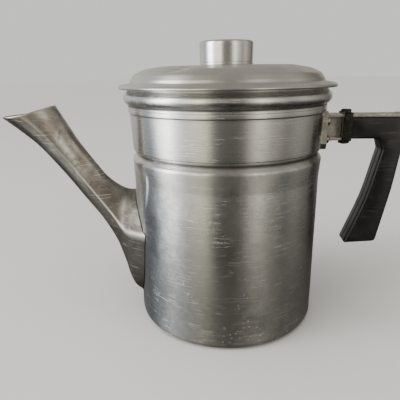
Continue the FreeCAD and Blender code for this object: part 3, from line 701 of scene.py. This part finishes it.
def spout_skin(inset):
    """Grid of points from the pot's skin to the lip, one column for each place round the spout."""
    rings = [spout_ring(step / SPOUT_FINE, inset) for step in range(SPOUT_FINE + 1)]
    around = len(rings[0])
    columns = []
    for index in range(around):
        line = [ring[index] for ring in rings]
        start = 0
        while outside_pot(line[start]) < SPOUT_CLEARANCE:
            start += 1
        before = outside_pot(line[start - 1])
        after = outside_pot(line[start])
        exact = start - 1 + (SPOUT_CLEARANCE - before) / (after - before)
        columns.append((line, exact))
    grid = []
    for step in range(SPOUT_ALONG + 1):
        share = step / SPOUT_ALONG
        row = []
        for line, exact in columns:
            spot = exact + (SPOUT_FINE - exact) * share
            index = min(int(spot), SPOUT_FINE - 1)
            row.append(line[index].lerp(line[index + 1], spot - index))
        grid.append(row)
    return grid


def make_spout(material, seam_material):
    outer = spout_skin(0.0)
    inner = spout_skin(SPOUT_WALL)
    around = len(outer[0])
    lip_out = outer[-1]
    lip_in = inner[-1]
    lift = Vector((0, 0, 0.25))
    middle = [a.lerp(b, 0.5) + lift for a, b in zip(lip_out, lip_in)]
    near_out = [a.lerp(b, 0.15) + lift * 0.7 for a, b in zip(lip_out, lip_in)]
    near_in = [a.lerp(b, 0.85) + lift * 0.7 for a, b in zip(lip_out, lip_in)]
    rows = outer + [near_out, middle, near_in] + inner[::-1]
    faces = []
    for row in range(len(rows)):
        following = (row + 1) % len(rows)
        for index in range(around):
            beside = (index + 1) % around
            faces.append((row * around + index, following * around + index,
                          following * around + beside, row * around + beside))
    mesh = bpy.data.meshes.new("spout_shell")
    mesh.from_pydata([tuple(point * MM) for row in rows for point in row], [], faces)
    paint_rubbed_and_highlight(mesh, len(outer), around)
    fix = bmesh.new()
    fix.from_mesh(mesh)
    bmesh.ops.recalc_face_normals(fix, faces=fix.faces)
    fix.to_mesh(mesh)
    fix.free()
    mark_smooth(mesh, 75)
    make_seam(outer[0], seam_material)
    new_piece("spout_shell", mesh, material, "pot", ["spout"])


def make_seam(loop, material):
    """Dark line of old flux and coffee where the spout's foot meets the pot."""
    sides = 8
    radius = 0.48
    vertices = []
    count = len(loop)
    for index, point in enumerate(loop):
        ahead = (loop[(index + 1) % count] - loop[index - 1]).normalized()
        outward = Vector((point.x, point.y, 0)).normalized()
        across = ahead.cross(outward).normalized()
        for side in range(sides):
            angle = 2 * math.pi * side / sides
            out = radius * (math.cos(angle) - 0.25)
            vertices.append(point + outward * out + across * (radius * math.sin(angle)))
    faces = []
    for index in range(count):
        following = (index + 1) % count
        for side in range(sides):
            beside = (side + 1) % sides
            faces.append((index * sides + side, index * sides + beside,
                          following * sides + beside, following * sides + side))
    mesh = mesh_from("spout_seam", vertices, faces)
    new_piece("spout_seam", mesh, material, "pot")


def paint_rubbed_and_highlight(mesh, outer_rows, around):
    """Where handling has rubbed the spout bright, also standing as a painted highlight: along the side
    ridges and round the lip.
    """
    layer = mesh.color_attributes.new("rubbed", "FLOAT_COLOR", "POINT")
    ridges = (SPOUT_RIDGE, around - SPOUT_RIDGE)
    for index in range(len(mesh.vertices)):
        row, column = divmod(index, around)
        level = 0.0
        if row < outer_rows:
            along = row / outer_rows
            off = min(abs(column - ridge) for ridge in ridges)
            ridge_share = max(0.0, 1.0 - off / 2.0)
            level = ridge_share * (1.0 - 0.75 * smooth_step(0.45, 0.9, along))
            if along > 0.985:
                level = max(level, 0.55)
        layer.data[index].color = (level, level, level, 1.0)


# --------------------------------------------------------------------------- handle
def offset_outline(points, inset):
    """A closed outline drawn in by inset along its normals."""
    moved = []
    count = len(points)
    following = points[1:] + points[:1]
    area = sum(here.x * there.y - there.x * here.y for here, there in zip(points, following))
    turn = 1.0 if area > 0 else -1.0
    for index, point in enumerate(points):
        ahead = (points[(index + 1) % count] - points[index - 1]).normalized()
        normal = Vector((-ahead.y, ahead.x)) * turn
        moved.append(point + normal * inset)
    return moved


def moulded(name, outline, half_width, edge, groove):
    """Solid of one outline in X and Z, twice half_width wide, with soft edges and a parting groove."""
    rim = [
        (half_width, edge), (half_width - 0.12 * edge, edge * 0.55),
        (half_width - 0.45 * edge, edge * 0.17), (half_width - edge, 0.0),
    ]
    middle = [(0.75, 0.0), (0.45, groove), (-0.45, groove), (-0.75, 0.0)]
    levels = rim + middle + [(-across, inset) for across, inset in reversed(rim)]
    vertices = []
    loops = []
    for across, inset in levels:
        loop = []
        for point in offset_outline(outline, inset):
            loop.append(len(vertices))
            vertices.append((point.x, across, point.y))
        loops.append(loop)
    faces = [tuple(loops[0]), tuple(reversed(loops[-1]))]
    count = len(outline)
    for first, second in zip(loops, loops[1:]):
        for index in range(count):
            beside = (index + 1) % count
            faces.append((first[index], first[beside], second[beside], second[index]))
    return mesh_from(name, vertices, faces, 40)


def make_grip(material):
    low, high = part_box("handle_grip")
    under = 122.3
    arm_low = 109.9
    start = low.x / MM + 0.05
    outline = rounded([
        (start, arm_low), (88.4, arm_low, 3.0), (90.3, 103.4, 3.5), (83.9, 74.0, 120), (73.1, 44.7, 1.2),
        (92.6, 46.2, 2.6), (98.9, 80.0, 160), (103.9, under, 5), (start, under),
    ], step=2.0)
    mesh = moulded("grip_moulding", outline, high.y / MM, 1.5, groove=0.35)
    new_piece("grip_moulding", mesh, material, "pot", ["handle_grip"])


def box_mesh(name, boxes, bevel):
    """Boxes joined in one bevelled mesh; each is (low corner, high corner) in millimetres."""
    shape = bmesh.new()
    for low, high in boxes:
        low = Vector(low) * MM
        high = Vector(high) * MM
        matrix = Matrix.Translation((low + high) / 2) @ Matrix.Diagonal((*(high - low), 1.0))
        made = bmesh.ops.create_cube(shape, size=1.0, matrix=matrix)
        edges = list({edge for vertex in made["verts"] for edge in vertex.link_edges})
        bmesh.ops.bevel(shape, geom=edges, offset=bevel * MM, segments=3, profile=0.6, affect="EDGES")
    mesh = bpy.data.meshes.new(name)
    shape.to_mesh(mesh)
    shape.free()
    mark_smooth(mesh, 40)
    return mesh


def make_handle_fittings(plated, oxidised):
    low, high = (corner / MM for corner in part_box("handle_strap"))
    inner = low.x + 0.05
    thick = 1.8
    web = 1.2
    ferrule_low, ferrule_high = (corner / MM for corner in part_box("handle_ferrule"))
    near = ferrule_low.x
    strap = box_mesh("strap_stamping", [
        ((inner, low.y, high.z - thick), (high.x, high.y, high.z)),
        ((inner, -web, low.z + 0.1), (near, web, high.z - 1.0)),
        ((inner, low.y, low.z), (near, high.y, low.z + thick)),
    ], 0.35)
    new_piece("strap_stamping", strap, plated, "pot", ["handle_strap"])
    wall = 0.95
    far = ferrule_high.x
    half = ferrule_high.y
    ferrule = box_mesh("ferrule_band", [
        ((near, -half, ferrule_low.z), (far, half, ferrule_low.z + wall)),
        ((near, -half, ferrule_high.z - wall), (far, half, ferrule_high.z)),
        ((near, -half, ferrule_low.z), (far, -half + wall, ferrule_high.z)),
        ((near, half - wall, ferrule_low.z), (far, half, ferrule_high.z)),
    ], 0.4)
    new_piece("ferrule_band", ferrule, oxidised, "pot", ["handle_ferrule"])


# --------------------------------------------------------------------------- lid
LID_SEGMENTS = 320
LID_OUTER = (
    (1.9, 151.8), (17.0, 151.75, 3), (38.5, 151.4, 3), (47.5, 149.8, 9), (52.9, 147.2, 3),
    (54.7, 144.5, 0.7), (55.3, 142.95, 0.6), (60.2, 141.95, 2.5), (61.9, 140.9, 0.7), (61.5, 139.75, 0.45),
)
LID_INNER = (
    (59.7, 139.75, 0.4), (59.3, 141.0, 0.4), (56.7, 142.0, 1), (54.3, 141.9, 0.8), (54.3, 132.5, 0.4),
    (53.3, 132.5, 0.4), (53.3, 144.9, 1), (40.0, 150.2, 3), (18.5, 150.8, 8), (1.9, 150.8),
)


DENT_AT = (-25.0, -38.0)


def lid_skin(radius, height, angle):
    """The lid's soft unevenness and the creased dent on its front shoulder, toward the spout."""
    place = Vector((math.cos(angle) * radius / 20.0, math.sin(angle) * radius / 20.0, 3.7))
    uneven = 0.16 * noise.noise(place) * smooth_step(16.0, 24.0, radius)
    uneven *= 1.0 - smooth_step(49.0, 53.0, radius)
    across = radius * math.cos(angle) - DENT_AT[0]
    along = radius * math.sin(angle) - DENT_AT[1]
    dent = math.exp(-((across / 9.0) ** 2 + (along / 6.0) ** 2))
    crease = 0.5 * math.exp(-((across * 0.45 - along) / 1.2) ** 2) * math.exp(-(across / 8.0) ** 2)
    crease += 0.4 * math.exp(-((across * 0.8 + along) / 1.1) ** 2) * math.exp(-(across / 6.0) ** 2)
    inside = smooth_step(16.5, 19.0, radius) * (1.0 - smooth_step(49.5, 52.5, radius))
    return radius, height + min(0.0, uneven - dent * inside - crease * inside)


def make_lid(material):
    outline = rounded(LID_OUTER + LID_INNER, step=1.3)
    mesh = lathe("lid_pressing", outline, LID_SEGMENTS, lid_skin, closed=True, sharp_angle=50)
    new_piece("lid_pressing", mesh, material, "lid", ["lid_shell"])


KNOB_SEGMENTS = 160


def make_knob(material):
    low, top = (corner.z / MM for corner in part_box("lid_knob"))
    outline = rounded([
        (0.0, top - 0.15), (12.6, top - 0.1, 4), (13.2, top, 0.3), (15.25, top, 1.3),
        (15.05, low + 1.5, 0.2), (14.85, low + 1.3, 0.1), (15.2, low + 1.1, 0.25), (15.2, low, 0.3),
        (13.6, low, 0.2), (13.6, top - 1.7, 1.0), (4.0, top - 1.7, 0.5), (4.0, low, 0.1), (1.9, low, 0.1),
        (1.9, top - 3.6), (0.0, top - 3.6),
    ], step=1.2)
    mesh = lathe("knob_turning", outline, KNOB_SEGMENTS, closed=False)
    new_piece("knob_turning", mesh, material, "lid", ["lid_knob"])


# --------------------------------------------------------------------------- scene
def add_light(name, place, aim, size, power, colour):
    data = bpy.data.lights.new(name, "AREA")
    data.shape = "RECTANGLE"
    data.size, data.size_y = size
    data.energy = power
    data.color = colour
    light = bpy.data.objects.new(name, data)
    light.location = place
    light.rotation_euler = (Vector(aim) - Vector(place)).to_track_quat("-Z", "Y").to_euler()
    light.visible_glossy = False
    bpy.context.scene.collection.objects.link(light)


def add_overhead():
    """Wide even light from above that keeps the floor pale, with a soft shadow under the pot."""
    data = bpy.data.lights.new("overhead", "SUN")
    data.energy = 1.9
    data.angle = math.radians(70)
    data.color = (1.0, 0.99, 0.97)
    light = bpy.data.objects.new("overhead", data)
    light.rotation_euler = (math.radians(12), math.radians(-14), 0)
    light.visible_glossy = False
    bpy.context.scene.collection.objects.link(light)


STUDIO_STRENGTH = 8.6
# Turn round the object (0 and 1 in front, at -Y; 0.25 left; 0.5 behind; 0.75 right) and the light there
STUDIO_BANDS = (
    (0.000, (0.24, 0.225, 0.20)), (0.030, (0.30, 0.285, 0.26)), (0.048, (0.75, 0.72, 0.64)),
    (0.066, (2.15, 2.02, 1.58)), (0.110, (2.10, 2.02, 1.66)), (0.130, (1.75, 1.74, 1.60)),
    (0.155, (2.9, 2.9, 2.7)), (0.190, (8.6, 8.5, 8.0)), (0.218, (6.0, 6.1, 6.0)), (0.248, (1.7, 1.8, 1.9)),
    (0.272, (0.56, 0.60, 0.65)), (0.340, (0.72, 0.72, 0.70)), (0.420, (0.72, 0.70, 0.65)),
    (0.500, (0.44, 0.42, 0.37)), (0.570, (0.46, 0.43, 0.38)), (0.615, (0.14, 0.13, 0.115)),
    (0.680, (0.28, 0.265, 0.235)), (0.755, (0.55, 0.52, 0.47)), (0.800, (0.40, 0.375, 0.34)),
    (0.845, (0.70, 0.66, 0.58)), (0.900, (1.75, 1.66, 1.42)), (0.922, (1.05, 0.97, 0.84)),
    (0.942, (0.40, 0.37, 0.33)), (0.965, (0.24, 0.22, 0.195)), (1.000, (0.24, 0.225, 0.20)),
)
CEILING = (0.36, 0.345, 0.31)
# Share of that light from straight down (0) through level (0.5) to straight up (1)
STUDIO_FADE = ((0.0, 0.05), (0.20, 0.06), (0.33, 0.20), (0.45, 0.80), (0.50, 1.0), (1.0, 1.0))
BACKDROP = (0.84, 0.835, 0.82, 1)


def studio_colour(light):
    return darker(light, 1 / STUDIO_STRENGTH)


def make_world():
    """Soft studio: a bright window to the front left, dark in front, a dimmer one to the right."""
    world = bpy.data.worlds.new("studio")
    bpy.context.scene.world = world
    world.use_nodes = True
    graph = Graph(world.node_tree, "Generated")
    across, along, up = graph.split()
    angle = graph.math("ARCTAN2", across, along)
    halfway = {"operation": "MULTIPLY_ADD"}
    turns = graph.node("ShaderNodeMath", {0: angle, 1: 0.5 / math.pi, 2: 0.5}, **halfway).outputs[0]
    rise = graph.node("ShaderNodeMath", {0: up, 1: 0.5, 2: 0.5}, **halfway).outputs[0]
    bands = graph.ramp(turns, [(place, studio_colour(light)) for place, light in STUDIO_BANDS])
    fade = graph.ramp(rise, [(place, (level, level, level, 1)) for place, level in STUDIO_FADE])
    overhead = graph.window(up, 0.42, 0.80)
    light = graph.blend(overhead, graph.tinted(bands, fade), studio_colour(CEILING))
    studio = graph.node("ShaderNodeBackground", {0: light, 1: STUDIO_STRENGTH})
    backdrop = graph.node("ShaderNodeBackground", {0: BACKDROP})
    seen = graph.node("ShaderNodeLightPath").outputs["Is Camera Ray"]
    choice = graph.node("ShaderNodeMixShader", {0: seen, 1: studio.outputs[0], 2: backdrop.outputs[0]})
    graph.node("ShaderNodeOutputWorld", {0: choice.outputs[0]})


def make_floor():
    mesh = bpy.data.meshes.new("floor")
    half = 12.0
    corners = [(-half, -half, 0), (half, -half, 0), (half, half, 0), (-half, half, 0)]
    mesh.from_pydata(corners, [], [(0, 1, 2, 3)])
    floor = bpy.data.objects.new("floor", mesh)
    bpy.context.scene.collection.objects.link(floor)
    mesh.materials.append(floor_material())
    floor.location.z = -0.3 * MM
    floor.visible_glossy = False


EYE = (0.0, -0.2444, 0.1475)


def make_camera():
    """Close hand-held view: slightly above the lid, aimed down, a little to the left and rolled."""
    pitch = math.radians(17.4)
    yaw = math.radians(-3.82)
    roll = math.radians(-0.9)
    forward = Vector((math.sin(yaw) * math.cos(pitch), math.cos(yaw) * math.cos(pitch), -math.sin(pitch)))
    right = forward.cross(Vector((0, 0, 1))).normalized()
    up = right.cross(forward)
    level_right = right
    right = level_right * math.cos(roll) + up * math.sin(roll)
    up = up * math.cos(roll) - level_right * math.sin(roll)
    data = bpy.data.cameras.new("camera")
    data.sensor_width = 36.0
    data.lens = 36.36
    data.clip_start = 0.01
    camera = bpy.data.objects.new("camera", data)
    turn = Matrix((right, up, -forward)).transposed().to_4x4()
    camera.matrix_world = Matrix.Translation(EYE) @ turn
    bpy.context.scene.collection.objects.link(camera)
    bpy.context.scene.camera = camera


def dress(material, names):
    """Give CAD nodes that keep their own shape a finished material."""
    for name in names:
        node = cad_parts[name]
        node.data.materials.clear()
        node.data.materials.append(material)


def main():
    body_metal = drawn_aluminium("drawn_aluminium", (0.80, 0.795, 0.78, 1))
    lid_metal = spun_aluminium("lid_aluminium", (0.76, 0.745, 0.715, 1))
    knob_metal = spun_aluminium("turned_aluminium", (0.84, 0.83, 0.81, 1), gloss=0.16)
    spout_metal = tarnished_aluminium("tarnished_aluminium")
    plated = aged_steel("plated_steel", (0.70, 0.67, 0.62, 1), (0.40, 0.365, 0.32, 1), 0.36)
    oxidised = aged_steel("oxidised_steel", (0.075, 0.068, 0.062, 1), (0.03, 0.026, 0.023, 1), 0.38)
    seam_dirt = aged_steel("seam_dirt", (0.03, 0.027, 0.024, 1), (0.012, 0.011, 0.010, 1), 0.6)
    rivet_metal = aged_steel("bright_rivets", (0.78, 0.77, 0.74, 1), (0.50, 0.47, 0.42, 1), 0.22, 0.5)
    black = phenolic("phenolic")
    coffee_metal = stained_aluminium("inner_aluminium", (0.74, 0.735, 0.72, 1))
    valve_metal = aged_steel("valve_steel", (0.60, 0.59, 0.57, 1), (0.36, 0.33, 0.29, 1), 0.28, 0.4)
    make_pot(body_metal)
    make_spout(spout_metal, seam_dirt)
    make_grip(black)
    make_handle_fittings(plated, oxidised)
    make_lid(lid_metal)
    make_knob(knob_metal)
    dress(plated, ("handle_plate", "strap_screw", "knob_screw", "knob_washer"))
    dress(rivet_metal, ("plate_rivets",))
    dress(oxidised, ("ferrule_screw", "ferrule_nut"))
    dress(coffee_metal, (
        "pump_tube", "pump_base", "valve_seat", "basket_stop", "basket_cup", "basket_sleeve",
        "spreader_plate",
    ))
    dress(valve_metal, ("valve_disc",))
    make_floor()
    make_world()
    make_camera()
    add_light("key", (-0.75, -0.45, 0.75), (0, 0, 0.08), (0.6, 0.8), 4.0, (0.96, 0.98, 1.0))
    add_light("fill", (0.8, -0.55, 0.55), (0, 0, 0.08), (0.5, 0.6), 1.5, (1.0, 0.95, 0.88))
    add_overhead()


main()
